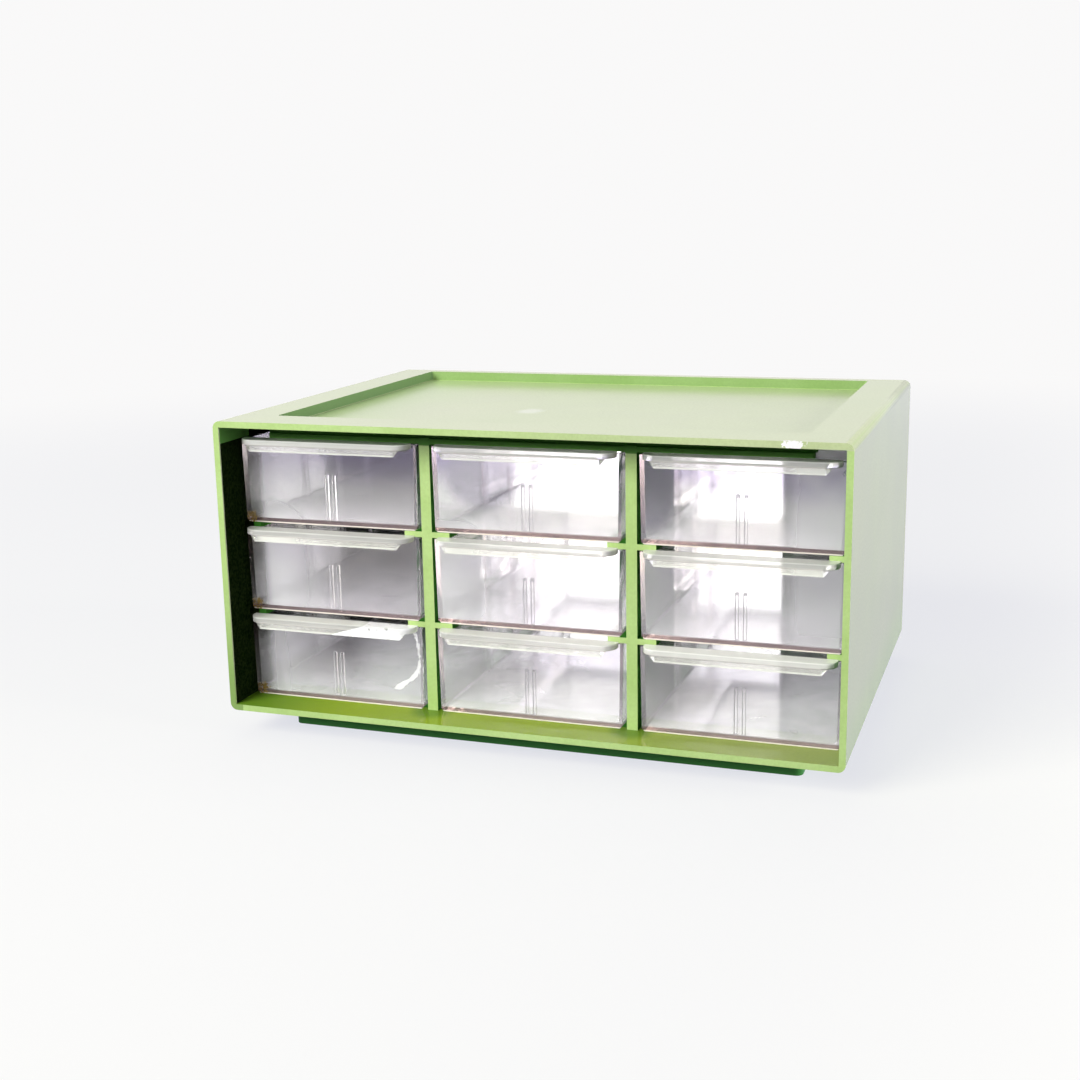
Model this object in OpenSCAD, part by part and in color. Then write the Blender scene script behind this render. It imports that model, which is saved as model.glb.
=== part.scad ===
// Parts bin cabinet: a stackable moulded housing with nine clear drawers in three rows of three.
// Millimetres. +Z is up, the drawers face -Y, and the origin is at the middle of the foot's
// underside, below the centre of the overall box.

/* [Housing] */
// Overall width of the housing
housing_w = 220; // [200:1:240]
// Overall depth of the housing, front edge to back
housing_d = 161; // [150:1:180]
// Height of the housing without its foot
housing_h = 105; // [102:1:112]
// Wall thickness of the shell
wall = 2.2; // [1.8:0.1:2.6]
// Radius of the four long outer edges
edge_r = 2.6; // [1:0.2:4]

/* [Stacking tray and foot] */
// Width of the border left and right of the stacking tray
tray_side = 16; // [12:0.5:20]
// Width of the border in front of the stacking tray
tray_front = 17.2; // [16.8:0.1:20]
// Width of the border behind the stacking tray
tray_back = 5.4; // [4:0.2:8]
// Depth of the stacking tray
tray_depth = 3.7; // [3:0.1:4]
// Radius of the tray's corners, seen from above
tray_corner_r = 1.5; // [1:0.1:3]
// Height of the foot under the housing
foot_h = 9.5; // [6:0.5:12]
// Clearance on each side between a foot and the tray it stands in
foot_clear = 0.4; // [0.2:0.1:0.8]

/* [Compartments] */
// How far the dividers and runners start behind the front edge
setback = 13.8; // [12:0.2:14]
// Thickness of the two upright dividers
divider_t = 3.8; // [3:0.1:4.4]
// Length of the upright dividers, front to back
divider_len = 46; // [30:1:60]
// Width of each drawer runner
runner_w = 6.5; // [5:0.1:7.5]
// Thickness of the drawer runners
runner_t = 2.0; // [1.4:0.1:2.2]
// Length of the drawer runners, front to back
runner_len = 66; // [60:1:120]

/* [Back window] */
// Width of the opening in the back wall
window_w = 121; // [80:1:130]
// Lower edge of the opening above the housing's underside
window_low = 8; // [6:0.5:14]
// Upper edge of the opening above the housing's underside
window_high = 92; // [80:0.5:94]
// Corner radius of the opening
window_r = 5; // [2:0.5:8]

/* [Drawer] */
// Clearance between a compartment and the drawer's rim, each side
drawer_gap = 1.05; // [1:0.05:2.2]
// How much narrower each side of a drawer is at the floor than at the rim
drawer_taper = 0.5; // [0.4:0.1:1]
// Thickness of the drawer's side and rear walls
drawer_wall = 1.3; // [1:0.1:1.5]
// Thickness of the drawer's front panel
front_t = 1.6; // [1.4:0.1:2]
// Thickness of the drawer's floor
floor_t = 1.6; // [1.2:0.1:2]
// Clearance behind a closed drawer
rear_gap = 2.2; // [1:0.1:4]

/* [Drawer handle] */
// How far the handle reaches in front of the drawer's front panel
handle_reach = 6; // [5:0.1:6.5]
// How much shorter the handle is than the drawer's rim, each end
handle_inset = 1.6; // [1:0.1:3]
// Radius of the handle's front corners, seen from above
handle_r = 4.8; // [3:0.1:4.9]
// Thickness of the handle's top flange
flange_t = 1.9; // [1.5:0.1:2.2]
// Drop of the finger lip under the flange
lip_drop = 2.3; // [1.5:0.1:3]
// Thickness of the finger lip
lip_t = 1.3; // [1:0.1:1.6]
// How much shorter the lip's lower edge is than the handle, each end
lip_inset = 4.6; // [3:0.1:6]

/* [Divider slots in the drawers] */
// Centre distance of the two ribs that make one slot
slot_pitch = 2.7; // [2.4:0.1:3.4]
// Thickness of one rib
rib_t = 1.1; // [0.8:0.1:1.2]
// Height of the ribs in the middle of the front and rear walls
long_rib_h = 17.8; // [12:0.1:22]
// Height of the ribs on the side walls
cross_rib_h = 25; // [18:0.5:26]
// Distance between neighbouring slots on the side walls
cross_pitch = 27; // [20:0.5:30]

/* [Show] */
// Which piece to draw

/* [Hidden] */
$fn = 64;
green = [0.66, 0.80, 0.42];
clear = [0.86, 0.87, 0.92, 0.45];

// Small overlap that joins neighbouring solids into one
join = 0.4;
front_y = -housing_d / 2;
back_y = housing_d / 2;
shell_low = foot_h;
shell_top = foot_h + housing_h;
inner_half = housing_w / 2 - wall;
floor_top = shell_low + wall;
pan_low = shell_top - tray_depth - wall;

// Three columns between the side walls, three rows between the floor and the tray's underside
cell_w = (2 * inner_half - 2 * divider_t) / 3;
col_pitch = cell_w + divider_t;
row_pitch = (pan_low - floor_top) / 3;
face_y = front_y + setback;

// A drawer stands a little above what carries it and stays a little under the runner above
lift = 0.2;
head_gap = 0.3;
drawer_h = row_pitch - runner_t - lift - head_gap;
rim_half = cell_w / 2 - drawer_gap;
base_half = rim_half - drawer_taper;

// The drawer's front panel stands slightly proud of the dividers' front faces
panel_proud = 0.4;
panel_y = face_y - panel_proud;
rear_y = back_y - wall - rear_gap;
drawer_len = rear_y - panel_y;
edge_cut = 0.9;
inner_cut = 0.5;
rib_depth = 0.9;

// The handle: its flat flange, and the lip that hangs from the flange's edge
flange_rise = 0.8;
flange_top = drawer_h + flange_rise;
flange_low = flange_top - flange_t;
handle_half = rim_half - handle_inset;
grip_y = panel_y - handle_reach;
handle_root_y = panel_y + panel_proud / 4;
lip_setback = 0.3;
lip_slant = 2.2;

// A box between two opposite corners
module span(low, high) {
  translate(low)
    cube(high - low);
}

// A long block along Y with its four long edges rounded
module rounded_block(half_w, y0, y1, z0, z1, r) {
  span([-half_w, y0, z0 + r], [half_w, y1, z1 - r]);
  span([-half_w + r, y0, z0], [half_w - r, y1, z1]);
  for (sx = [-1, 1])
    for (z = [z0 + r, z1 - r])
      translate([sx * (half_w - r), y1, z])
        rotate([90, 0, 0])
          cylinder(r = r, h = y1 - y0);
}

// A flat outline with rounded corners, between two opposite corners
module rounded_outline(low, high, r) {
  translate([low[0] + r, low[1]])
    square([high[0] - low[0] - 2 * r, high[1] - low[1]]);
  translate([low[0], low[1] + r])
    square([high[0] - low[0], high[1] - low[1] - 2 * r]);
  for (x = [low[0] + r, high[0] - r])
    for (y = [low[1] + r, high[1] - r])
      translate([x, y])
        circle(r = r);
}

// ---------------------------------------------------------------- housing

// The space inside the shell, open at the front, with the tray's pan hanging into it
module shell_cavity() {
  difference() {
    span(
      [-inner_half, front_y - 1, floor_top],
      [inner_half, back_y - wall, shell_top - wall]
    );
    span(
      [-housing_w / 2 + tray_side - wall, front_y + tray_front - wall, pan_low],
      [housing_w / 2 - tray_side + wall, back_y, shell_top]
    );
  }
}

// The shallow recess on top that takes the foot of the next cabinet
module tray_recess() {
  translate([0, 0, shell_top - tray_depth])
    linear_extrude(tray_depth + 1)
      rounded_outline(
        [-housing_w / 2 + tray_side, front_y + tray_front],
        [housing_w / 2 - tray_side, back_y - tray_back],
        tray_corner_r
      );
}

// The large opening in the back wall
module back_window() {
  translate([0, back_y + 1, 0])
    rotate([90, 0, 0])
      linear_extrude(wall + 2)
        rounded_outline(
          [-window_w / 2, shell_low + window_low],
          [window_w / 2, shell_low + window_high],
          window_r
        );
}

// A hollow skirt under the floor, with the tray's outline
module foot() {
  x = housing_w / 2 - tray_side - foot_clear;
  y0 = front_y + tray_front + foot_clear;
  y1 = back_y - tray_back - foot_clear;
  difference() {
    linear_extrude(foot_h + join)
      rounded_outline([-x, y0], [x, y1], tray_corner_r + 1);
    translate([0, 0, -1])
      linear_extrude(foot_h + 1)
        rounded_outline([-x + wall, y0 + wall], [x - wall, y1 - wall], tray_corner_r);
  }
}

// Upright dividers behind the front opening
module dividers() {
  for (side = [-1, 1])
    translate([side * col_pitch / 2, 0, 0])
      span(
        [-divider_t / 2, face_y, floor_top - join],
        [divider_t / 2, face_y + divider_len, pan_low + join]
      );
}

// Ledges that carry the two upper rows, on both sides of every compartment
module runners() {
  for (row = [1, 2]) {
    top = floor_top + row * row_pitch;
    for (side = [-1, 1]) {
      translate([side * col_pitch / 2, 0, 0])
        span(
          [-divider_t / 2 - runner_w, face_y, top - runner_t],
          [divider_t / 2 + runner_w, face_y + runner_len, top]
        );
      at_wall = side * (inner_half + join);
      at_edge = side * (inner_half - runner_w);
      span(
        [min(at_wall, at_edge), face_y, top - runner_t],
        [max(at_wall, at_edge), face_y + runner_len, top]
      );
    }
  }
}

module housing() {
  color(green) {
    difference() {
      rounded_block(housing_w / 2, front_y, back_y, shell_low, shell_top, edge_r);
      shell_cavity();
      tray_recess();
      back_window();
    }
    foot();
    dividers();
    runners();
  }
}

// ---------------------------------------------------------------- drawers

// Half the drawer's outer width at height z: the sides lean in towards the floor
function side_at(z) = base_half + drawer_taper * z / drawer_h;

// Cross-section of the drawer body, set in from its outside, with its bottom edges cut
module drawer_section(inset, z0, z1, cut) {
  low = side_at(z0) - inset - cut;
  knee = side_at(z0 + cut) - inset;
  high = side_at(z1) - inset;
  polygon([
    [-low, z0],
    [low, z0],
    [knee, z0 + cut],
    [high, z1],
    [-high, z1],
    [-knee, z0 + cut]
  ]);
}

// The section stretched along Y
module along_y(y0, y1) {
  translate([0, y1, 0])
    rotate([90, 0, 0])
      linear_extrude(y1 - y0)
        children();
}

// Open box with an even wall all round
module drawer_box() {
  difference() {
    along_y(panel_y, rear_y)
      drawer_section(0, 0, drawer_h, edge_cut);
    along_y(panel_y + front_t, rear_y - drawer_wall)
      drawer_section(drawer_wall, floor_t, drawer_h + 1, inner_cut);
  }
}

// The handle's outline from above, with rounded front corners, set in from its edge
module handle_outline(inset) {
  straight = handle_half - handle_r;
  corner_y = grip_y + handle_r;
  translate([-straight, grip_y + inset])
    square([2 * straight, handle_root_y - grip_y - inset]);
  translate([inset - handle_half, corner_y])
    square([2 * (handle_half - inset), handle_root_y - corner_y]);
  intersection() {
    for (side = [-1, 1])
      translate([side * straight, corner_y])
        circle(r = handle_r - inset);
    translate([-handle_half, grip_y])
      square([2 * handle_half, handle_root_y - grip_y]);
  }
}

// Flat flange with a finger lip along its edge; the lip's ends slant up and away
module handle() {
  translate([0, 0, flange_low])
    linear_extrude(flange_t)
      handle_outline(0);
  lip_half = handle_half - lip_inset;
  intersection() {
    translate([0, 0, flange_low - lip_drop])
      linear_extrude(lip_drop + join)
        difference() {
          handle_outline(lip_setback);
          handle_outline(lip_setback + lip_t);
        }
    along_y(grip_y, grip_y + handle_r)
      polygon([
        [-lip_half, flange_low - lip_drop],
        [lip_half, flange_low - lip_drop],
        [lip_half + lip_slant, flange_low + join],
        [-lip_half - lip_slant, flange_low + join]
      ]);
  }
}

// Rib pairs in the middle of the front and rear walls, for a lengthwise divider
module long_slots() {
  inner_front = panel_y + front_t;
  inner_rear = rear_y - drawer_wall;
  for (side = [-1, 1]) {
    x = side * slot_pitch / 2;
    span(
      [x - rib_t / 2, inner_front - join, floor_t - join],
      [x + rib_t / 2, inner_front + rib_depth, long_rib_h]
    );
    span(
      [x - rib_t / 2, inner_rear - rib_depth, floor_t - join],
      [x + rib_t / 2, inner_rear + join, long_rib_h]
    );
  }
}

// One leaning rib on each side wall, centred at y
module side_ribs(y) {
  low = side_at(floor_t) - drawer_wall;
  high = side_at(cross_rib_h) - drawer_wall;
  for (side = [0, 1])
    mirror([side, 0, 0])
      along_y(y - rib_t / 2, y + rib_t / 2)
        polygon([
          [low - rib_depth, floor_t - join],
          [low + join, floor_t - join],
          [high + join, cross_rib_h],
          [high - rib_depth, cross_rib_h]
        ]);
}

// Rib pairs on both side walls, for cross dividers
module cross_slots() {
  mid_y = (panel_y + rear_y) / 2;
  for (step = [-1, 0, 1])
    for (pair = [-1, 1])
      side_ribs(mid_y + step * cross_pitch + pair * slot_pitch / 2);
}

module drawer() {
  drawer_box();
  handle();
  long_slots();
  cross_slots();
}

// Column -1, 0, 1 from the left; row 0, 1, 2 from the bottom
module placed_drawer(col, row) {
  color(clear)
    translate([col * col_pitch, 0, floor_top + row * row_pitch + lift])
      drawer();
}

module drawer_top_left() { placed_drawer(-1, 2); }
module drawer_top_middle() { placed_drawer(0, 2); }
module drawer_top_right() { placed_drawer(1, 2); }
module drawer_middle_left() { placed_drawer(-1, 1); }
module drawer_middle_middle() { placed_drawer(0, 1); }
module drawer_middle_right() { placed_drawer(1, 1); }
module drawer_bottom_left() { placed_drawer(-1, 0); }
module drawer_bottom_middle() { placed_drawer(0, 0); }
module drawer_bottom_right() { placed_drawer(1, 0); }

housing();
drawer_top_left();
drawer_top_middle();
drawer_top_right();
drawer_middle_left();
drawer_middle_middle();
drawer_middle_right();
drawer_bottom_left();
drawer_bottom_middle();
drawer_bottom_right();
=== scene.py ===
import math
from types import SimpleNamespace

import bpy
from mathutils import Matrix, Vector


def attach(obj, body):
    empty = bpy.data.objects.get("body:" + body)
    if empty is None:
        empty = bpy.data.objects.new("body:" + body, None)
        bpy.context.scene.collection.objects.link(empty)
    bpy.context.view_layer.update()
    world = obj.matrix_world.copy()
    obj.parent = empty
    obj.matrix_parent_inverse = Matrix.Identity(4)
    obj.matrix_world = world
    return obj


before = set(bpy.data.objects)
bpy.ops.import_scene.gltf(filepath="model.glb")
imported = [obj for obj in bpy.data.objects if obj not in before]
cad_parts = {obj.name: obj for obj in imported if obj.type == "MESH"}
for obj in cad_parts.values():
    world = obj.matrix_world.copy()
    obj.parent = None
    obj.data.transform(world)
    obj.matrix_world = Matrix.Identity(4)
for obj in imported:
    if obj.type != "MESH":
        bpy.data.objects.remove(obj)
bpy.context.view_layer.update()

MM = 0.001

# Camera, in the cabinet's own frame
CAMERA_AT = Vector((0.1700, -0.5347, 0.1883))
CAMERA_YAW = math.radians(19.45)
CAMERA_PITCH = math.radians(12.77)
CAMERA_ROLL = math.radians(-1.07)
CAMERA_LENS = 50.53
CAMERA_SENSOR = 36.0
CAMERA_CLIP = (0.01, 50)

# Where the cabinet's faces lie, in millimetres: x to the right, y to the rear, z up
FRONT = -80.5
BACK = 80.5
FACE = -66.7
PANEL = -67.1
FLOOR_TOP = 11.7
TRAY_FLOOR = 110.8
PAN_LOW = 108.6
SHELL_TOP = 114.5
WALL = 2.2
ROW_PITCH = 32.3
COL_PITCH = 73.133
HALF_COL = COL_PITCH / 2
DRAWER_LIFT = 0.2

# The lintel, in millimetres
LINTEL_HALF = 96.0
LINTEL_LOW = 106.8
LINTEL_FRONT = FACE + 0.1
LINTEL_REAR = FACE + 2.2
LINTEL_TOP = PAN_LOW + 0.2
LINTEL_ROUND = 0.3
LINTEL_SEGMENTS = 2

# Rounded edges: width in millimetres, segments
HOUSING_ROUND = (0.35, 3)
DRAWER_ROUND = (0.25, 2)
WELD_REACH = 0.01
FLAT_ANGLE = math.radians(0.5)
EDGE_ANGLE = math.radians(30)


def place_camera():
    """A camera in front of the cabinet, a little to its right and above it."""
    data = bpy.data.cameras.new("camera")
    data.sensor_width = CAMERA_SENSOR
    data.sensor_fit = "HORIZONTAL"
    data.lens = CAMERA_LENS
    data.clip_start, data.clip_end = CAMERA_CLIP
    camera = bpy.data.objects.new("camera", data)
    bpy.context.collection.objects.link(camera)
    turn = (
        Matrix.Rotation(CAMERA_YAW, 4, "Z")
        @ Matrix.Rotation(math.pi / 2 - CAMERA_PITCH, 4, "X")
        @ Matrix.Rotation(CAMERA_ROLL, 4, "Z")
    )
    camera.matrix_world = Matrix.Translation(CAMERA_AT) @ turn
    bpy.context.scene.camera = camera


# ------------------------------------------------------------------ node helpers


def new_material(name):
    """An empty node material with its output node."""
    material = bpy.data.materials.new(name)
    material.use_nodes = True
    tree = material.node_tree
    tree.nodes.clear()
    output = tree.nodes.new("ShaderNodeOutputMaterial")
    return material, tree, output


def feed(tree, socket, value):
    """Links a socket to an input, or sets the input to a number or colour."""
    if isinstance(value, bpy.types.NodeSocket):
        tree.links.new(value, socket)
    else:
        socket.default_value = value


def calc(tree, operation, a, b=0.0, c=0.0):
    """One Math node."""
    node = tree.nodes.new("ShaderNodeMath")
    node.operation = operation
    feed(tree, node.inputs[0], a)
    feed(tree, node.inputs[1], b)
    feed(tree, node.inputs[2], c)
    return node.outputs[0]


def chain(tree, operation, values):
    """The same operation over all the values, from the first to the last."""
    result = values[0]
    for value in values[1:]:
        result = calc(tree, operation, result, value)
    return result


def times(tree, *values):
    """The product of all the values, as an AND of masks."""
    return chain(tree, "MULTIPLY", values)


def most(tree, *values):
    """The largest of the values, as an OR of masks."""
    return chain(tree, "MAXIMUM", values)


def total(tree, *values):
    return chain(tree, "ADD", values)


def above(tree, value, limit):
    return calc(tree, "GREATER_THAN", value, limit)


def below(tree, value, limit):
    return calc(tree, "LESS_THAN", value, limit)


def band(tree, value, low, high):
    """1 between two limits, else 0."""
    return times(tree, above(tree, value, low), below(tree, value, high))


def invert(tree, value):
    return calc(tree, "SUBTRACT", 1.0, value)


def magnitude(tree, value):
    """A value without its sign."""
    return calc(tree, "ABSOLUTE", value)


def away(tree, value, middle):
    """The distance of a value from another."""
    return magnitude(tree, calc(tree, "SUBTRACT", value, middle))


def ramp(tree, value, start, end, low=0.0, high=1.0):
    """A smooth step from low at start to high at end."""
    node = tree.nodes.new("ShaderNodeMapRange")
    node.interpolation_type = "SMOOTHSTEP"
    feed(tree, node.inputs["Value"], value)
    node.inputs["From Min"].default_value = start
    node.inputs["From Max"].default_value = end
    node.inputs["To Min"].default_value = low
    node.inputs["To Max"].default_value = high
    return node.outputs["Result"]


def blend(tree, share, under, over):
    """A colour between two others."""
    node = tree.nodes.new("ShaderNodeMix")
    node.data_type = "RGBA"
    feed(tree, node.inputs["Factor"], share)
    feed(tree, node.inputs[6], under)
    feed(tree, node.inputs[7], over)
    return node.outputs[2]


def paint(tree, colour, layers):
    """Lays colours over the first one, each by its own share."""
    for share, over in layers:
        colour = blend(tree, share, colour, over)
    return colour


def noise(tree, place, scale, detail=2.0, roughness=0.5, distortion=0.0):
    node = tree.nodes.new("ShaderNodeTexNoise")
    feed(tree, node.inputs["Vector"], place)
    node.inputs["Scale"].default_value = scale
    node.inputs["Detail"].default_value = detail
    node.inputs["Roughness"].default_value = roughness
    node.inputs["Distortion"].default_value = distortion
    return node.outputs["Fac"]


def read_place(tree):
    """The object position as a vector and in millimetres, and which way the face looks."""
    coordinates = tree.nodes.new("ShaderNodeTexCoord")
    place = coordinates.outputs["Object"]
    large = tree.nodes.new("ShaderNodeVectorMath")
    large.operation = "SCALE"
    large.inputs["Scale"].default_value = 1 / MM
    tree.links.new(place, large.inputs[0])
    parts = tree.nodes.new("ShaderNodeSeparateXYZ")
    tree.links.new(large.outputs["Vector"], parts.inputs[0])
    facing = tree.nodes.new("ShaderNodeSeparateXYZ")
    tree.links.new(coordinates.outputs["Normal"], facing.inputs[0])
    x, y, z = parts.outputs
    right, rear, up = facing.outputs
    return SimpleNamespace(place=place, x=x, y=y, z=z, right=right, rear=rear, up=up)


def ellipse(tree, at, centre, radii, ragged=None):
    """0 at a centre, 1 at the given radii and more beyond them; ragged adds to it."""
    squares = []
    for value, middle, radius in zip(at, centre, radii):
        part = calc(tree, "DIVIDE", calc(tree, "SUBTRACT", value, middle), radius)
        squares.append(times(tree, part, part))
    distance = calc(tree, "SQRT", total(tree, *squares))
    return distance if ragged is None else total(tree, distance, ragged)


def within(tree, at, outline):
    """1 inside a rectangle, which is given as half its width, its front and its rear."""
    half, front, rear = outline
    return times(tree, below(tree, magnitude(tree, at.x), half), band(tree, at.y, front, rear))


def grain_bump(tree, height, strength, distance):
    node = tree.nodes.new("ShaderNodeBump")
    node.inputs["Strength"].default_value = strength
    node.inputs["Distance"].default_value = distance
    tree.links.new(height, node.inputs["Height"])
    return node.outputs["Normal"]


def mix_shaders(tree, share, first, second):
    node = tree.nodes.new("ShaderNodeMixShader")
    tree.links.new(share, node.inputs["Fac"])
    tree.links.new(first, node.inputs[1])
    tree.links.new(second, node.inputs[2])
    return node.outputs["Shader"]


# ------------------------------------------------------------------ green housing

LEAF_LIGHT = (0.47, 0.65, 0.24, 1)
LEAF_DEEP = (0.41, 0.59, 0.19, 1)
# Painted shade: the deep green inside the shell, the near black of the left inner wall and the
# darker green under the roof's front
INSIDE_SHADE = (0.035, 0.17, 0.02, 1)
UNLIT = (0.001, 0.006, 0.001, 1)
OVERHEAD_SHADE = (0.12, 0.30, 0.07, 1)
# The strip in front of the drawers: a darker green as painted shade under the roof's front, and
# paler to the right as painted light
STRIP = (0.26, 0.37, 0.02, 1)
STRIP_PALE = (0.34, 0.40, 0.13, 1)
# A darker green: painted shade at the strip's left end and on the front's low left corner, and
# darker round the dividers' feet
DARK_GREEN = (0.08, 0.19, 0.012, 1)
# Painted shade near the tray's left wall and a painted reflection of its rear wall, on the tray's
# floor
TRAY_SHADE_AND_REFLECTION = (0.42, 0.57, 0.24, 1)
# Painted shade on the tray's walls
TRAY_WALL_SHADE = (0.11, 0.23, 0.08, 1)
# Dust and a painted sheen: the pale cast of tops and side walls
DUST_AND_SHEEN = (0.565, 0.54, 0.41, 1)
# Painted shade on the foot under the cabinet
FOOT_SHADE = (0.06, 0.26, 0.06, 1)
SPECKLE_DARK = (0.12, 0.16, 0.05, 1)
CHIP_WHITE = (0.93, 0.92, 0.90, 1)

# Limits that tell the housing's faces apart, in millimetres. Each lies within a wall.
SHELL_INSIDE = 108.9
HALF_WALL = 1.1
RIM_SKIN = 0.6
REAR_SKIN = 0.7
MOUTH_END = -60.0
LEFT_FRONTS = -100.0
LEFT_INNER = -104.0
LEFT_OUTER = -105.0
STRIP_END = FACE + 2
STRIP_TOP = 13.0
RIM_TOP = 112.1
RIM_FACE = FRONT + 0.5
OVERHEAD_LOW = LINTEL_LOW - 0.3
TRAY_WALL_LOW = TRAY_FLOOR + 0.1
TRAY_FLOOR_SKIN = 0.3
FOOT_TOP = 9.3
FOOT_INSIDE_TOP = 9.6

# A face looks along an axis when its normal leans that way by more than this
FACING = 0.5

# Rectangles: half the width, front and rear, in millimetres
PAN_OUTLINE = (95.1, -64.4, 76.2)
TRAY_OUTLINE = (94.4, -63.6, 75.4)
FOOT_OUTLINE = (92.5, -61.8, 73.6)

# Noise: scale, detail, roughness
MOTTLE_NOISE = (38, 3, 0.6)
SPECKLE_NOISE = (1100, 2, 0.6)
DUST_NOISE = (14, 2)
CHIP_NOISE = (760, 3, 0.7)
SMUDGE_NOISE = (160, 2)

# Smooth steps: start, end, share at the start, share at the end
MOTTLE_SHARE = (0.35, 0.65)
# Dust and painted sheen on tops and sides, the sides lighter higher up
DUST_AND_SHEEN_ON_TOP = (0.4, 0.9, 0.0, 0.62)
DUST_AND_SHEEN_ON_SIDE = (0.4, 0.9, 0.0, 0.53)
DUST_AND_SHEEN_THIN_LOW = (8, 34, 0.35, 1.0)
DUST_PATCHY = (0.2, 0.8, 0.85, 1.1)
# The strip: paler to the right as painted light, painted shade to the left, darker round the
# dividers' feet
STRIP_PALER_RIGHT = (10, 100, 0.0, 0.7)
STRIP_SHADE_LEFT = (-60, -108, 0.0, 0.85)
STRIP_DULL_LEFT = (-30, -90, 0.5, 0.95)
DIVIDER_DARKENING = (0.4, 1.0, 0.75, 0.0)
DIVIDER_DARKENING_SIZE = (10.0, 11.0)
# Painted shade on the tray's walls, painted light on the rim's top to the right, painted shade
# and reflection on the tray's floor, painted shade on the front's low left corner
TRAY_WALL_SHADE_SHARE = (0.4, 0.8, 0.5, 0.85)
RIM_TOP_LIGHT_RIGHT = (-70, 80, 0.0, 0.45)
TRAY_SHADE_LEFT = (-95, -45, 0.6, 0.0)
TRAY_REFLECTION_REAR = (76, 50, 0.5, 0.0)
LOW_LEFT_SHADE = (70, 12, 0.0, 0.6)
SPECKLE_SHARE = (0.3, 0.7, 0.0, 0.10)

# The chip on the roof's front edge and the pale mark on the tray, in millimetres
CHIP_AT = (91.2, -80.5, 113.4)
CHIP_SIZE = (4.6, 2.4, 2.2)
CHIP_RAGGED = 2.1
CHIP_LIMIT = 1.75
SMUDGE_AT = (-18.5, -9.3, 110.8)
SMUDGE_SIZE = (5.5, 8.0, 1.0)
SMUDGE_RAGGED = 0.6
SMUDGE_SHARE = (0.6, 1.5, 0.38, 0.0)

# Gloss: a thin coat over a nearly matt moulding
GREEN_IOR = 1.15
COAT_IOR = 1.48
COAT_ROUGHNESS = 0.2
GREEN_ROUGHNESS = (0.3, 0.7, 0.48, 0.58)
SPECULAR_LEVEL = 0.5
FOOT_MATT = 0.75
TRAY_WALL_MATT = 0.75
GRAIN_STRENGTH = 0.2
GRAIN_DEPTH = 0.0001


def strip_mask(tree, at):
    """1 on the strip of the housing's floor in front of the drawers."""
    facing_up = above(tree, at.up, FACING)
    return times(tree, below(tree, at.y, STRIP_END), facing_up, below(tree, at.z, STRIP_TOP))


def inside_mask(tree, at, strip):
    """1 on the faces inside the shell and inside the foot, where the deep green is painted shade.
    """
    over_pan = within(tree, at, PAN_OUTLINE)
    roof = total(tree, at.z, times(tree, over_pan, SHELL_TOP - PAN_LOW - WALL))
    shell = times(
        tree,
        below(tree, magnitude(tree, at.x), SHELL_INSIDE),
        band(tree, at.y, FRONT + RIM_SKIN, BACK - REAR_SKIN),
        above(tree, at.z, FLOOR_TOP - HALF_WALL),
        below(tree, roof, SHELL_TOP - HALF_WALL),
    )
    fronts = times(
        tree,
        below(tree, at.y, MOUTH_END),
        below(tree, at.rear, -FACING),
        below(tree, at.z, PAN_LOW - WALL),
        above(tree, at.x, LEFT_FRONTS),
    )
    # The fronts at the mouth and the strip get no painted shade here
    lit_mouth = most(tree, fronts, strip)
    foot = times(tree, within(tree, at, FOOT_OUTLINE), below(tree, at.z, FOOT_INSIDE_TOP))
    return most(tree, times(tree, shell, invert(tree, lit_mouth)), foot)


def tray_wall_mask(tree, at):
    """1 on the low walls round the tray."""
    return times(
        tree,
        within(tree, at, TRAY_OUTLINE),
        above(tree, at.z, TRAY_WALL_LOW),
        below(tree, at.up, FACING),
    )


def dust_and_sheen_layers(tree, at, strip):
    """Dust and a painted sheen on what faces up and on the side walls, the side walls lighter
    higher up.
    """
    top = ramp(tree, at.up, *DUST_AND_SHEEN_ON_TOP)
    side = ramp(tree, magnitude(tree, at.right), *DUST_AND_SHEEN_ON_SIDE)
    side = times(tree, side, ramp(tree, at.z, *DUST_AND_SHEEN_THIN_LOW))
    patchy = ramp(tree, noise(tree, at.place, *DUST_NOISE), *DUST_PATCHY)
    return [(times(tree, most(tree, top, side), patchy, invert(tree, strip)), DUST_AND_SHEEN)]


def strip_layers(tree, at, strip):
    """The strip in front of the drawers: a darker green as painted shade under the roof's front,
    paler to the right as painted light, painted shade at the left where the left wall shades it,
    and darker round the dividers' feet.
    """
    round_divider = ellipse(
        tree, (magnitude(tree, at.x), at.y), (HALF_COL, FACE), DIVIDER_DARKENING_SIZE
    )
    darkening = most(
        tree, ramp(tree, at.x, *STRIP_SHADE_LEFT), ramp(tree, round_divider, *DIVIDER_DARKENING)
    )
    return [
        (strip, STRIP),
        (times(tree, strip, ramp(tree, at.x, *STRIP_PALER_RIGHT)), STRIP_PALE),
        (times(tree, strip, darkening), DARK_GREEN),
    ]


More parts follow.
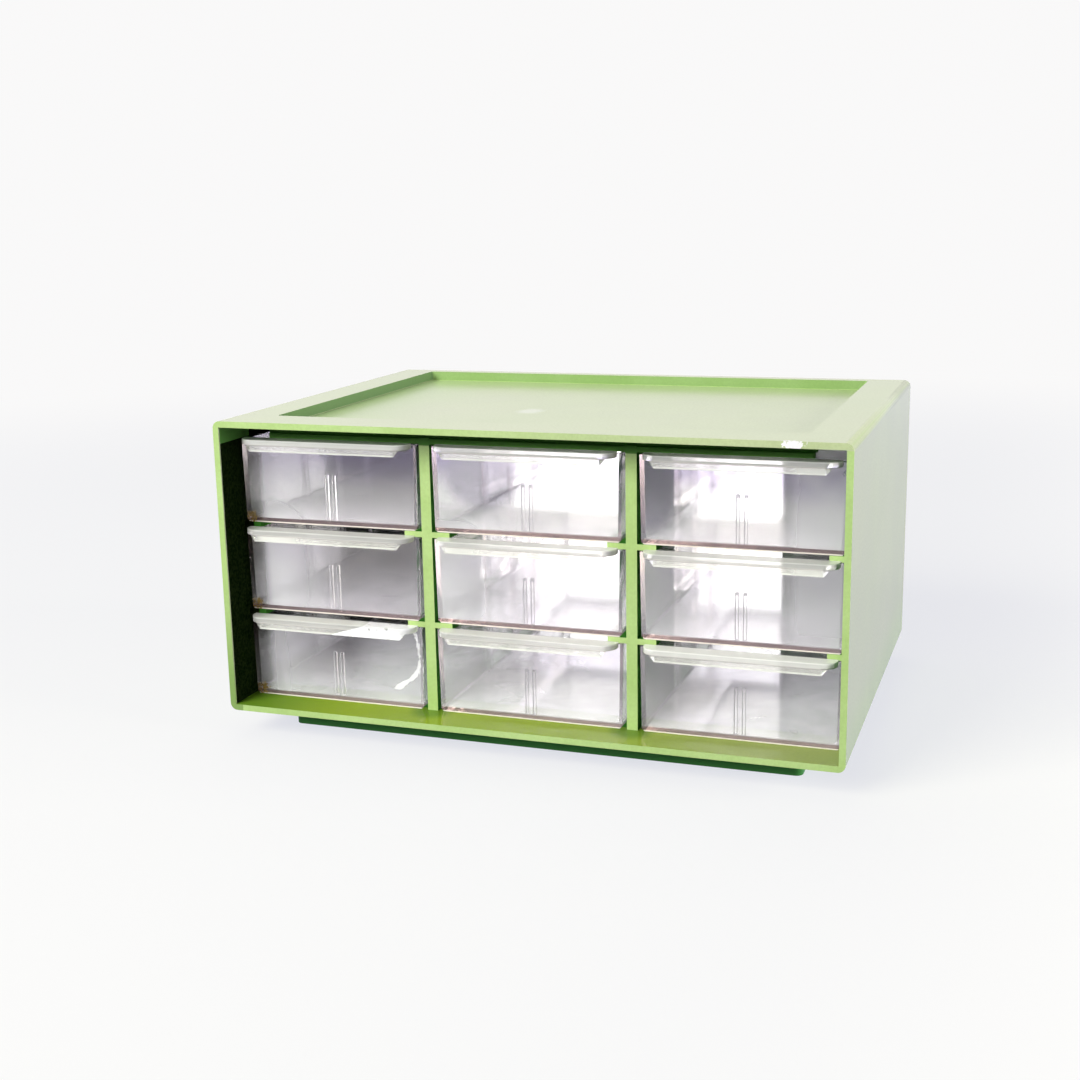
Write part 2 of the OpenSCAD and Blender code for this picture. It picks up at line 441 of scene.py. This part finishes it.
def outer_layers(tree, at, tray_wall):
    """The tray's walls and floor, the rim over the drawers and the front's low left corner:
    painted shade on the tray's walls, most on those that face right, painted shade and a painted
    reflection on the tray's floor, painted light on the rim to the right and painted shade low on
    the left.
    """
    facing_front = below(tree, at.rear, -FACING)
    rim_top = times(
        tree, facing_front, above(tree, at.z, RIM_TOP), below(tree, at.y, RIM_FACE)
    )
    tray_floor = times(
        tree,
        band(tree, at.z, TRAY_FLOOR - TRAY_FLOOR_SKIN, TRAY_FLOOR + TRAY_FLOOR_SKIN),
        above(tree, at.up, FACING),
    )
    shade_and_reflection = most(
        tree, ramp(tree, at.x, *TRAY_SHADE_LEFT), ramp(tree, at.y, *TRAY_REFLECTION_REAR)
    )
    left = times(tree, facing_front, below(tree, at.x, LEFT_OUTER))
    return [
        (times(tree, tray_wall, ramp(tree, at.right, *TRAY_WALL_SHADE_SHARE)), TRAY_WALL_SHADE),
        (times(tree, rim_top, ramp(tree, at.x, *RIM_TOP_LIGHT_RIGHT)), DUST_AND_SHEEN),
        (times(tree, tray_floor, shade_and_reflection), TRAY_SHADE_AND_REFLECTION),
        (times(tree, left, ramp(tree, at.z, *LOW_LEFT_SHADE)), DARK_GREEN),
    ]


def inner_layers(tree, at, inside, foot):
    """Painted shade: deep green inside the shell and the foot, near black on the left inner wall,
    a darker green under the roof's front and on the foot's outside.
    """
    overhead_shade = times(tree, above(tree, at.z, OVERHEAD_LOW), below(tree, at.y, MOUTH_END))
    return [
        (inside, INSIDE_SHADE),
        (times(tree, inside, below(tree, at.x, LEFT_INNER)), UNLIT),
        (times(tree, inside, overhead_shade), OVERHEAD_SHADE),
        (foot, FOOT_SHADE),
    ]


def wear_layers(tree, at, speckle):
    """The chip, the pale mark and a fine speckle over all."""
    spot = (at.x, at.y, at.z)
    ragged = times(tree, noise(tree, at.place, *CHIP_NOISE), CHIP_RAGGED)
    chip = below(tree, ellipse(tree, spot, CHIP_AT, CHIP_SIZE, ragged), CHIP_LIMIT)
    ragged = times(tree, noise(tree, at.place, *SMUDGE_NOISE), SMUDGE_RAGGED)
    smudge = ellipse(tree, spot, SMUDGE_AT, SMUDGE_SIZE, ragged)
    return [
        (chip, CHIP_WHITE),
        (ramp(tree, smudge, *SMUDGE_SHARE), CHIP_WHITE),
        (ramp(tree, speckle, *SPECKLE_SHARE), SPECKLE_DARK),
    ]


def green_plastic():
    """Leaf green moulding: faded and dusty outside with a painted sheen, with painted shade
    inside, on the foot and in the recesses.
    """
    material, tree, output = new_material("green_plastic")
    at = read_place(tree)
    mottle = noise(tree, at.place, *MOTTLE_NOISE)
    speckle = noise(tree, at.place, *SPECKLE_NOISE)
    strip = strip_mask(tree, at)
    inside = inside_mask(tree, at, strip)
    foot = times(tree, below(tree, at.z, FOOT_TOP), invert(tree, inside))
    tray_wall = tray_wall_mask(tree, at)
    leaf = blend(tree, ramp(tree, mottle, *MOTTLE_SHARE), LEAF_DEEP, LEAF_LIGHT)
    layers = (
        dust_and_sheen_layers(tree, at, strip)
        + strip_layers(tree, at, strip)
        + outer_layers(tree, at, tray_wall)
        + inner_layers(tree, at, inside, foot)
        + wear_layers(tree, at, speckle)
    )
    matt = most(
        tree,
        inside,
        times(tree, strip, ramp(tree, at.x, *STRIP_DULL_LEFT)),
        times(tree, foot, FOOT_MATT),
        times(tree, tray_wall, TRAY_WALL_MATT),
    )

    shader = tree.nodes.new("ShaderNodeBsdfPrincipled")
    shader.inputs["IOR"].default_value = GREEN_IOR
    shader.inputs["Coat IOR"].default_value = COAT_IOR
    shader.inputs["Coat Roughness"].default_value = COAT_ROUGHNESS
    specular = ramp(tree, inside, 0.0, 1.0, SPECULAR_LEVEL, 0.0)
    grain = grain_bump(tree, speckle, GRAIN_STRENGTH, GRAIN_DEPTH)
    feed(tree, shader.inputs["Base Color"], paint(tree, leaf, layers))
    feed(tree, shader.inputs["Roughness"], ramp(tree, mottle, *GREEN_ROUGHNESS))
    feed(tree, shader.inputs["Specular IOR Level"], specular)
    feed(tree, shader.inputs["Coat Weight"], ramp(tree, matt, 0.0, 1.0, 1.0, 0.0))
    feed(tree, shader.inputs["Normal"], grain)
    tree.links.new(shader.outputs["BSDF"], output.inputs["Surface"])
    return material


# ------------------------------------------------------------------ clear drawers

CLEAR_TINT = (0.99, 0.985, 0.995, 1)
CLEAR_VIOLET = (0.98, 0.96, 0.985, 1)
DRAWER_DUST = (0.82, 0.80, 0.83, 1)
# Painted shade under the handles, strongest in the top row
HEAD_SHADE = (0.62, 0.57, 0.74, 1)
HANDLE_TINT = (0.86, 0.87, 0.80, 1)
# White of the scratch, and of the painted reflection on the bottom left handle
MARK_WHITE = (0.96, 0.96, 0.95, 1)
RIM_TINT = (0.70, 0.67, 0.74, 1)
# Painted shade on the rib edges, standing in for the dark lines that refraction draws there
RIB_EDGE_SHADE = (0.36, 0.35, 0.36, 1)
# Painted shade in the groove between flange and lip
GROOVE_SHADE = (0.62, 0.60, 0.56, 1)
EDGE_BROWN = (0.42, 0.29, 0.27, 1)
# Painted highlight along the drawers' bottom edge
FOOT_LINE_HIGHLIGHT = (0.95, 0.88, 0.76, 1)
# Painted shade at the left end of the left column's fronts, by the left wall
LEFT_END_SHADE = (0.50, 0.51, 0.48, 1)
SHADE_VIOLET = (0.52, 0.50, 0.58, 1)
SPECK_GOLD = (0.33, 0.22, 0.06, 1)
SHADOW_TINT = (0.93, 0.93, 0.94, 1)
AGED_TINT = (0.80, 0.64, 0.57, 1)
AGED_DENSITY = 9.0
CLEAR_IOR = 1.6
CLEAR_ROUGHNESS = 0.06

# From front to rear, in millimetres
PANEL_BACK = PANEL + 1.6
RIB_BACK = PANEL + 2.6
PANEL_SKIN = 0.1
PANEL_MIDDLE = PANEL_BACK - 0.6
RIB_FRONT = PANEL_BACK + 0.05

# Heights above a drawer's underside, in millimetres
FOOT_LINE = 0.45
DRAWER_FLOOR = 1.7
LOW_TOP = DRAWER_FLOOR + 0.4
RIB_TOP = 17.9
RIB_TOP_EDGE = RIB_TOP - 1.2
RIB_LIMIT = RIB_TOP + 0.3
LIP_LOW = 26.2
LIP_EDGE = 26.9
FLANGE_LOW = 28.7
GROOVE_HALF = 0.3
RIM_LOW = 29.0
FLANGE_EDGE = 30.2

# Distances from the middle of a column, in millimetres
RIB_MIDDLE = 1.35
RIB_HALF = 0.55
RIB_EDGE = 0.22
RIB_OUTER = RIB_MIDDLE + RIB_HALF + 0.3
SIDE_WALL = 31.5

# Haze, as the share of light that is scattered
RIB_HAZE = 0.8
HANDLE_HAZE = 0.2
FLANGE_HAZE = 0.24
TOP_LEFT_FLANGE_HAZE = 0.38
LOW_RIGHT_FLANGE_HAZE = 0.3
BRIGHT_EDGE_HAZE = 0.2
GROOVE_HAZE = 0.3
EDGE_HAZE = 0.2
# The painted highlight along the bottom edge scatters most
FOOT_LINE_HAZE = 0.7
SCRATCH_HAZE = 0.62
# The painted reflection on the bottom left handle
GLINT_HAZE = 0.85
GOLD_HAZE = 0.7
VEIL = 0.43
RIGHT_VEIL = 0.7
OUTER_COLUMN = 36.0
TOP_ROW = 80.0
BOTTOM_ROW = 45.0

# Noise: scale, detail, roughness, distortion
CLOUD_NOISE = (45, 3, 0.55, 0.4)
PATCH_NOISE = (24, 2, 0.5, 0.6)
TORN_NOISE = (520, 3, 0.7)
GLINT_NOISE = (500, 2)
GOLD_NOISE = (1700, 1)

# Smooth steps: start, end, share at the start, share at the end
WALL_FILM = (27.0, 3.0, 0.0, 0.075)
FLOOR_FILM = (15, 40, 0.38, 0.29)
FILM_CLOUDY = (0.3, 0.7, 0.8, 1.2)
VEIL_FROM_LEFT = (46, 12)
VEIL_TOP_ROW = (98, 74, 0.08, 1.0)
VEIL_MIDDLE_COLUMN = (-60, -30, 1.0, 0.75)
VEIL_RIGHT_COLUMN = (20, 40, 1.0, 0.7)
VEIL_BOTTOM_ROW = (50, 40, 1.0, 0.66)
VEIL_OUTER_END = (-104, -97)
VEIL_FROM_RIGHT = (48, 56)
VEIL_RIGHT_LOW = (25, 60, 0.45, 1.0)
VEIL_CORNER = (36, 56, 0.0, 0.7)
VEIL_CORNER_TOP = (50, 40)
PATCH_SHARE = (0.4, 0.75)
FLOOR_DUST = (15, 40, 0.2, 0.75)
HEAD_RISE = (12, 26)
HEAD_TOP_ROW = (70, 92, 0.3, 1.0)
HEAD_PATCHY = (0.36, 0.56, 0.35, 1.0)
LEFT_END_SHADE_RAMP = (-99, -104)

# Shaded patches on the fronts: place across and height, radii, in millimetres
SHADES = (((-16.0, 96.0), (15.0, 12.0)), ((42.0, 94.0), (12.0, 16.0)))
SHADE_SHARE = (0.6, 1.1, 1.0, 0.0)

# The scratch on the bottom left drawer: height and place across, in millimetres
SCRATCH = (
    (18.3, -49.9),
    (20.8, -47.4),
    (23.2, -43.7),
    (26.7, -41.5),
    (31.6, -41.0),
    (36.5, -41.8),
    (40.9, -42.9),
)
SCRATCH_LOW = 18.3
SCRATCH_RISE = 22.6
SCRATCH_LEFT = -50.0
SCRATCH_SPAN = 10.0
SCRATCH_WIDTH = (SCRATCH_LOW, SCRATCH_LOW + 12, 1.9, 0.55)
SCRATCH_TORN = 3.4
SCRATCH_LIMIT = 1.35
SCRATCH_FRONT = PANEL - 0.2

# A painted reflection: a white patch on the handle over the scratch, in millimetres; its left
# side slopes
GLINT_LOW = 38.0
GLINT_HIGH = 42.6
GLINT_RIGHT = -36.0
GLINT_SLOPE = 3.0
GLINT_START = -187.0
GLINT_LIMIT = 0.36

# Brown specks in the lower left corners of the left drawers, in millimetres
GOLD_RIGHT = -102.5
GOLD_REAR = PANEL_BACK + 3
GOLD_TOP = 3.6
GOLD_LIMIT = 0.5


def drawer_masks(tree, at):
    """Where a point lies on its drawer, in a way that is the same for all nine."""
    rise = calc(tree, "SUBTRACT", at.z, FLOOR_TOP + DRAWER_LIFT)
    height = calc(tree, "MODULO", rise, ROW_PITCH)
    column = calc(tree, "MODULO", total(tree, at.x, 1.5 * COL_PITCH), COL_PITCH)
    off_middle = away(tree, column, HALF_COL)
    front = below(tree, at.y, PANEL_BACK + PANEL_SKIN)
    behind = above(tree, at.y, PANEL_BACK + PANEL_SKIN)
    low = times(tree, behind, below(tree, height, LOW_TOP))
    handle = times(tree, below(tree, at.y, PANEL - PANEL_SKIN), above(tree, height, LIP_LOW))
    rim = times(tree, behind, above(tree, height, RIM_LOW))
    corner = times(tree, low, above(tree, off_middle, SIDE_WALL))
    return SimpleNamespace(
        height=height,
        column=column,
        front=front,
        low=low,
        rim=most(tree, rim, corner),
        panel=times(
            tree, front, above(tree, height, DRAWER_FLOOR), below(tree, at.y, PANEL_MIDDLE)
        ),
        edge=times(tree, front, band(tree, height, FOOT_LINE, DRAWER_FLOOR)),
        foot_line=times(tree, front, below(tree, height, FOOT_LINE)),
        handle=handle,
        flange=times(tree, handle, above(tree, height, FLANGE_LOW)),
        groove=times(tree, handle, below(tree, away(tree, height, FLANGE_LOW), GROOVE_HALF)),
        rib_line=rib_mask(tree, at, height, off_middle),
    )


def rib_mask(tree, at, height, off_middle):
    """1 on the edges of the rib pairs behind the fronts of the two right columns."""
    ribs = times(
        tree,
        above(tree, at.x, -HALF_COL),
        band(tree, at.y, RIB_FRONT, RIB_BACK),
        below(tree, height, RIB_LIMIT),
        below(tree, off_middle, RIB_OUTER),
    )
    to_side = away(tree, away(tree, off_middle, RIB_MIDDLE), RIB_HALF)
    line = most(tree, below(tree, to_side, RIB_EDGE), above(tree, height, RIB_TOP_EDGE))
    return times(tree, ribs, line)


def scratch_mask(tree, at):
    """A ragged white line on the bottom left drawer's front panel."""
    node = tree.nodes.new("ShaderNodeFloatCurve")
    curve = node.mapping.curves[0]
    knots = [
        ((high - SCRATCH_LOW) / SCRATCH_RISE, (across - SCRATCH_LEFT) / SCRATCH_SPAN)
        for high, across in SCRATCH
    ]
    curve.points[0].location = knots[0]
    curve.points[1].location = knots[-1]
    for knot in knots[1:-1]:
        curve.points.new(*knot)
    node.mapping.update()
    along = calc(tree, "DIVIDE", calc(tree, "SUBTRACT", at.z, SCRATCH_LOW), SCRATCH_RISE)
    feed(tree, node.inputs["Value"], along)
    middle = calc(tree, "MULTIPLY_ADD", node.outputs["Value"], SCRATCH_SPAN, SCRATCH_LEFT)
    torn = times(tree, noise(tree, at.place, *TORN_NOISE), SCRATCH_TORN)
    past_edge = calc(tree, "SUBTRACT", away(tree, at.x, middle), ramp(tree, at.z, *SCRATCH_WIDTH))
    return times(
        tree,
        below(tree, total(tree, past_edge, torn), SCRATCH_LIMIT),
        band(tree, at.z, SCRATCH_LOW, SCRATCH_LOW + SCRATCH_RISE),
        band(tree, at.y, SCRATCH_FRONT, PANEL_BACK),
    )


def handle_glint_mask(tree, at):
    """A painted reflection: a white patch on the handle over the scratch."""
    return times(
        tree,
        below(tree, at.y, PANEL - PANEL_SKIN),
        band(tree, at.z, GLINT_LOW, GLINT_HIGH),
        above(tree, at.x, calc(tree, "MULTIPLY_ADD", at.z, GLINT_SLOPE, GLINT_START)),
        below(tree, at.x, GLINT_RIGHT),
        above(tree, noise(tree, at.place, *GLINT_NOISE), GLINT_LIMIT),
    )


def gold_mask(tree, at, height):
    """Brown specks in the lower left corners of the left drawers."""
    return times(
        tree,
        below(tree, at.x, GOLD_RIGHT),
        below(tree, at.y, GOLD_REAR),
        below(tree, height, GOLD_TOP),
        above(tree, noise(tree, at.place, *GOLD_NOISE), GOLD_LIMIT),
    )


def veil_haze(tree, at, column):
    """A veil on the fronts, thickest at the left of each column and in the middle row."""
    left = times(
        tree,
        ramp(tree, column, *VEIL_FROM_LEFT),
        ramp(tree, at.z, *VEIL_TOP_ROW),
        ramp(tree, at.x, *VEIL_MIDDLE_COLUMN),
        ramp(tree, at.x, *VEIL_RIGHT_COLUMN),
        ramp(tree, at.z, *VEIL_BOTTOM_ROW),
        ramp(tree, at.x, *VEIL_OUTER_END),
    )
    right = times(
        tree,
        ramp(tree, column, *VEIL_FROM_RIGHT),
        above(tree, at.x, HALF_COL),
        ramp(tree, at.z, *VEIL_RIGHT_LOW),
    )
    corner = times(
        tree,
        ramp(tree, column, *VEIL_CORNER),
        below(tree, at.x, -HALF_COL),
        ramp(tree, at.z, *VEIL_CORNER_TOP),
    )
    right = times(tree, most(tree, right, corner), RIGHT_VEIL)
    return times(tree, most(tree, left, right), VEIL)


def grip_haze(tree, at, on):
    """The handles scatter more than the walls, most of all along their edges."""
    top_left = times(tree, below(tree, at.x, -OUTER_COLUMN), above(tree, at.z, TOP_ROW))
    low_right = times(tree, above(tree, at.x, OUTER_COLUMN), below(tree, at.z, BOTTOM_ROW))
    bright_edge = most(
        tree, below(tree, on.height, LIP_EDGE), above(tree, on.height, FLANGE_EDGE)
    )
    return total(
        tree,
        times(tree, on.handle, HANDLE_HAZE),
        times(tree, on.flange, FLANGE_HAZE),
        times(tree, on.flange, top_left, TOP_LEFT_FLANGE_HAZE),
        times(tree, on.flange, low_right, LOW_RIGHT_FLANGE_HAZE),
        times(tree, on.handle, bright_edge, BRIGHT_EDGE_HAZE),
        times(tree, on.groove, GROOVE_HAZE),
    )


def clear_haze(tree, at, on, scratch, glint, gold):
    """The share of light that is scattered instead of passed, from 0 to 1."""
    cloud = noise(tree, at.place, *CLOUD_NOISE)
    film = most(
        tree,
        ramp(tree, on.height, *WALL_FILM),
        times(tree, on.low, ramp(tree, at.z, *FLOOR_FILM)),
    )
    haze = most(
        tree,
        times(tree, film, ramp(tree, cloud, *FILM_CLOUDY)),
        times(tree, on.rib_line, RIB_HAZE),
        grip_haze(tree, at, on),
        times(tree, on.edge, EDGE_HAZE),
        times(tree, on.foot_line, FOOT_LINE_HAZE),
        times(tree, on.panel, veil_haze(tree, at, on.column)),
        times(tree, scratch, SCRATCH_HAZE),
        times(tree, glint, GLINT_HAZE),
        times(tree, gold, GOLD_HAZE),
    )
    return calc(tree, "MINIMUM", haze, 1.0)


def clear_tint(tree, at, on, mark, gold):
    """Nearly white, with painted shade under the handles, on two patches, at the left end of the
    left column, in the groove and along the rib edges, a painted highlight along the foot line,
    brown at the lower edges, and white on the scratch and on a painted reflection on one handle.
    """
    patch = noise(tree, at.place, *PATCH_NOISE)
    tint = blend(tree, ramp(tree, patch, *PATCH_SHARE), CLEAR_TINT, CLEAR_VIOLET)
    # Painted shade under the handles, strongest in the top row
    head_shade = times(
        tree,
        on.front,
        ramp(tree, on.height, *HEAD_RISE),
        ramp(tree, at.z, *HEAD_TOP_ROW),
        ramp(tree, patch, *HEAD_PATCHY),
    )
    shades = [
        ramp(tree, ellipse(tree, (at.x, at.z), centre, radii), *SHADE_SHARE)
        for centre, radii in SHADES
    ]
    layers = [
        (times(tree, on.low, ramp(tree, at.z, *FLOOR_DUST)), DRAWER_DUST),
        (head_shade, HEAD_SHADE),
        (times(tree, on.panel, most(tree, *shades)), SHADE_VIOLET),
        (times(tree, on.panel, ramp(tree, at.x, *LEFT_END_SHADE_RAMP)), LEFT_END_SHADE),
        (on.rim, RIM_TINT),
        (on.handle, HANDLE_TINT),
        (on.groove, GROOVE_SHADE),
        (on.rib_line, RIB_EDGE_SHADE),
        (on.edge, EDGE_BROWN),
        (on.foot_line, FOOT_LINE_HIGHLIGHT),
        (gold, SPECK_GOLD),
        (mark, MARK_WHITE),
    ]
    return paint(tree, tint, layers)


def clear_plastic():
    """Clear moulding with a faint haze, aged brown where it is looked through lengthwise."""
    material, tree, output = new_material("clear_plastic")
    at = read_place(tree)
    on = drawer_masks(tree, at)
    scratch = scratch_mask(tree, at)
    glint = handle_glint_mask(tree, at)
    gold = gold_mask(tree, at, on.height)
    tint = clear_tint(tree, at, on, most(tree, scratch, glint), gold)
    haze = clear_haze(tree, at, on, scratch, glint, gold)

    shader = tree.nodes.new("ShaderNodeBsdfPrincipled")
    shader.inputs["Roughness"].default_value = CLEAR_ROUGHNESS
    shader.inputs["IOR"].default_value = CLEAR_IOR
    feed(tree, shader.inputs["Base Color"], tint)
    feed(tree, shader.inputs["Transmission Weight"], invert(tree, haze))
    passing = tree.nodes.new("ShaderNodeBsdfTransparent")
    passing.inputs["Color"].default_value = SHADOW_TINT
    shadow = tree.nodes.new("ShaderNodeLightPath").outputs["Is Shadow Ray"]
    surface = mix_shaders(tree, shadow, shader.outputs["BSDF"], passing.outputs["BSDF"])
    tree.links.new(surface, output.inputs["Surface"])
    aged = tree.nodes.new("ShaderNodeVolumeAbsorption")
    aged.inputs["Color"].default_value = AGED_TINT
    aged.inputs["Density"].default_value = AGED_DENSITY
    tree.links.new(aged.outputs["Volume"], output.inputs["Volume"])
    return material


# ------------------------------------------------------------------ floor, room and lamps

# How bright the floor is to a ray that came through clear plastic
THROUGH_CABINET = 4.6
THROUGH_DRAWER = 0.62

# The floor, in metres
FLOOR_SIZE = 40
FLOOR_FADE = (0.35, 1.1)
FLOOR_RIGHT = (0.08, 0.35)
WINDOW_SPREAD = 0.6
WINDOW_BACK = (0.0405, 0.1105)
WINDOW_SIDE = (0.0905, 0.0505)
NEAR_AT = (0.0, 0.04)
NEAR_REACH = (0.6, 0.37)
NEAR_FADE = (0.8, 1.1)

FLOOR_GLOW = (0.68, 0.69, 0.76, 1)
# Painted light: the floor is brighter to the right, lifting the cabinet's shadow there
FLOOR_GLOW_RIGHT = (0.81, 0.81, 0.85, 1)
FLOOR_MIRRORED = (0.42, 0.40, 0.62, 1)
FLOOR_THROUGH = (0.74, 0.73, 0.66, 1)
FLOOR_SHADED = (0.213, 0.205, 0.147, 1)
FLOOR_BOUNCE = (0.12, 0.12, 0.12, 1)
FAR_WHITE = (0.95, 0.945, 0.945, 1)
FAR_MIRRORED = (0.74, 0.70, 0.95, 1)

FILL_WHITE = (1, 1, 1, 1)
FILL_STRENGTH = 0.08

# Lamps: name, place and width in metres, power in watts
LAMPS = (
    ("key", (-0.75, -1.30, 0.95), 1.0, 44),
    ("top", (-0.4, 0.3, 1.2), 1.0, 3.6),
    ("side", (1.6, 0.0, 0.3), 0.8, 30),
)
LAMP_AIM = Vector((0, 0, 0.05))


def sees_background(tree, lifted):
    """How bright the background is to a ray: 1 for camera and glossy rays, 0 for bounced light.

    Rays that come through clear plastic see it dimmer, or brighter by the share that is
    given as lifted.
    """
    path = tree.nodes.new("ShaderNodeLightPath")
    direct = most(tree, path.outputs["Is Camera Ray"], path.outputs["Is Glossy Ray"])
    lift = calc(tree, "MULTIPLY_ADD", lifted, THROUGH_CABINET - THROUGH_DRAWER, THROUGH_DRAWER)
    return most(tree, direct, times(tree, path.outputs["Is Transmission Ray"], lift))


def lifted_floor(tree, x, y):
    """0 on the floor under and around open drawers, 1 far off and behind the back window."""
    reach = calc(tree, "SUBTRACT", magnitude(tree, x), times(tree, y, WINDOW_SPREAD))
    window = times(tree, ramp(tree, y, *WINDOW_BACK), ramp(tree, reach, *WINDOW_SIDE))
    around = ellipse(tree, (x, y), NEAR_AT, NEAR_REACH)
    return most(tree, window, ramp(tree, around, *NEAR_FADE))


def floor_material():
    """White to the eye, with a faint cool shadow; dim to the light that bounces off it."""
    material, tree, output = new_material("pale_floor")
    place = tree.nodes.new("ShaderNodeTexCoord").outputs["Object"]
    length = tree.nodes.new("ShaderNodeVectorMath")
    length.operation = "LENGTH"
    tree.links.new(place, length.inputs[0])
    spread = tree.nodes.new("ShaderNodeSeparateXYZ")
    tree.links.new(place, spread.inputs[0])
    x, y = spread.outputs[0], spread.outputs[1]
    seen = sees_background(tree, lifted_floor(tree, x, y))
    path = tree.nodes.new("ShaderNodeLightPath")
    mirrored = path.outputs["Is Glossy Ray"]
    glow_layers = [
        # Painted light on the floor to the right
        (ramp(tree, x, *FLOOR_RIGHT), FLOOR_GLOW_RIGHT),
        (mirrored, FLOOR_MIRRORED),
        (path.outputs["Is Transmission Ray"], FLOOR_THROUGH),
    ]

    shaded = tree.nodes.new("ShaderNodeBsdfDiffuse")
    shaded.inputs["Color"].default_value = FLOOR_SHADED
    glow = tree.nodes.new("ShaderNodeEmission")
    feed(tree, glow.inputs["Color"], paint(tree, FLOOR_GLOW, glow_layers))
    feed(tree, glow.inputs["Strength"], seen)
    near = tree.nodes.new("ShaderNodeAddShader")
    tree.links.new(shaded.outputs["BSDF"], near.inputs[0])
    tree.links.new(glow.outputs["Emission"], near.inputs[1])
    white = tree.nodes.new("ShaderNodeEmission")
    feed(tree, white.inputs["Color"], blend(tree, mirrored, FAR_WHITE, FAR_MIRRORED))
    feed(tree, white.inputs["Strength"], seen)
    far = ramp(tree, length.outputs["Value"], *FLOOR_FADE)
    visible = mix_shaders(tree, far, near.outputs["Shader"], white.outputs["Emission"])
    dim = tree.nodes.new("ShaderNodeBsdfDiffuse")
    dim.inputs["Color"].default_value = FLOOR_BOUNCE
    surface = mix_shaders(tree, seen, dim.outputs["BSDF"], visible)
    tree.links.new(surface, output.inputs["Surface"])
    return material


def light_room():
    """A white room to the eye, with a faint fill and three soft lamps."""
    world = bpy.data.worlds.new("world")
    bpy.context.scene.world = world
    world.use_nodes = True
    tree = world.node_tree
    tree.nodes.clear()
    output = tree.nodes.new("ShaderNodeOutputWorld")
    share = sees_background(tree, 1.0)
    seen = tree.nodes.new("ShaderNodeBackground")
    seen.inputs["Color"].default_value = FAR_WHITE
    tree.links.new(share, seen.inputs["Strength"])
    fill = tree.nodes.new("ShaderNodeBackground")
    fill.inputs["Color"].default_value = FILL_WHITE
    fill.inputs["Strength"].default_value = FILL_STRENGTH
    room = mix_shaders(tree, share, fill.outputs["Background"], seen.outputs["Background"])
    tree.links.new(room, output.inputs["Surface"])
    for lamp in LAMPS:
        area_light(*lamp)


def area_light(name, place, width, power):
    """A soft lamp that is aimed at the cabinet and can't be seen."""
    data = bpy.data.lights.new(name, "AREA")
    data.size = width
    data.energy = power
    light = bpy.data.objects.new(name, data)
    bpy.context.collection.objects.link(light)
    turn = (LAMP_AIM - Vector(place)).to_track_quat("-Z", "Y").to_matrix().to_4x4()
    light.matrix_world = Matrix.Translation(place) @ turn
    light.visible_camera = False
    light.visible_glossy = False
    light.visible_transmission = False


def lay_floor():
    bpy.ops.object.select_all(action="DESELECT")
    bpy.ops.mesh.primitive_plane_add(size=FLOOR_SIZE, location=(0, 0, 0))
    floor = bpy.context.object
    floor.name = "floor"
    floor.data.materials.append(floor_material())


# ------------------------------------------------------------------ the cabinet


def add_lintel(material):
    """The rail under the front edge of the tray's pan that closes the gap above the drawers."""
    bpy.ops.object.select_all(action="DESELECT")
    bpy.ops.mesh.primitive_cube_add(size=1, location=(0, 0, 0))
    lintel = bpy.context.object
    lintel.name = "lintel"
    low = Vector((-LINTEL_HALF, LINTEL_FRONT, LINTEL_LOW)) * MM
    high = Vector((LINTEL_HALF, LINTEL_REAR, LINTEL_TOP)) * MM
    lintel.scale = high - low
    lintel.location = (low + high) / 2
    bpy.ops.object.transform_apply(location=True, rotation=True, scale=True)
    bpy.ops.object.modifier_add(type="BEVEL")
    lintel.modifiers["Bevel"].width = LINTEL_ROUND * MM
    lintel.modifiers["Bevel"].segments = LINTEL_SEGMENTS
    bpy.ops.object.modifier_apply(modifier="Bevel")
    lintel.data.materials.append(material)
    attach(lintel, "housing")


def finish_edges(node, width, segments):
    """Joins a node's loose faces and rounds its edges."""
    weld = node.modifiers.new("weld", "WELD")
    weld.merge_threshold = WELD_REACH * MM
    flat = node.modifiers.new("flat", "DECIMATE")
    flat.decimate_type = "DISSOLVE"
    flat.angle_limit = FLAT_ANGLE
    round_edge = node.modifiers.new("round_edge", "BEVEL")
    round_edge.width = width * MM
    round_edge.segments = segments
    round_edge.limit_method = "ANGLE"
    round_edge.angle_limit = EDGE_ANGLE
    round_edge.harden_normals = True


def dress(node, material, edge_round):
    """Gives a node of the frame its rounded edges and its material."""
    finish_edges(node, *edge_round)
    node.data.materials.clear()
    node.data.materials.append(material)


place_camera()
lay_floor()
light_room()
green = green_plastic()
clear = clear_plastic()
for name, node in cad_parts.items():
    if name == "housing":
        dress(node, green, HOUSING_ROUND)
    else:
        dress(node, clear, DRAWER_ROUND)
add_lintel(green)

scene = bpy.context.scene
scene.cycles.max_bounces = 32
scene.cycles.glossy_bounces = 24
scene.cycles.transmission_bounces = 32
scene.cycles.transparent_max_bounces = 24
scene.view_settings.view_transform = "Standard"
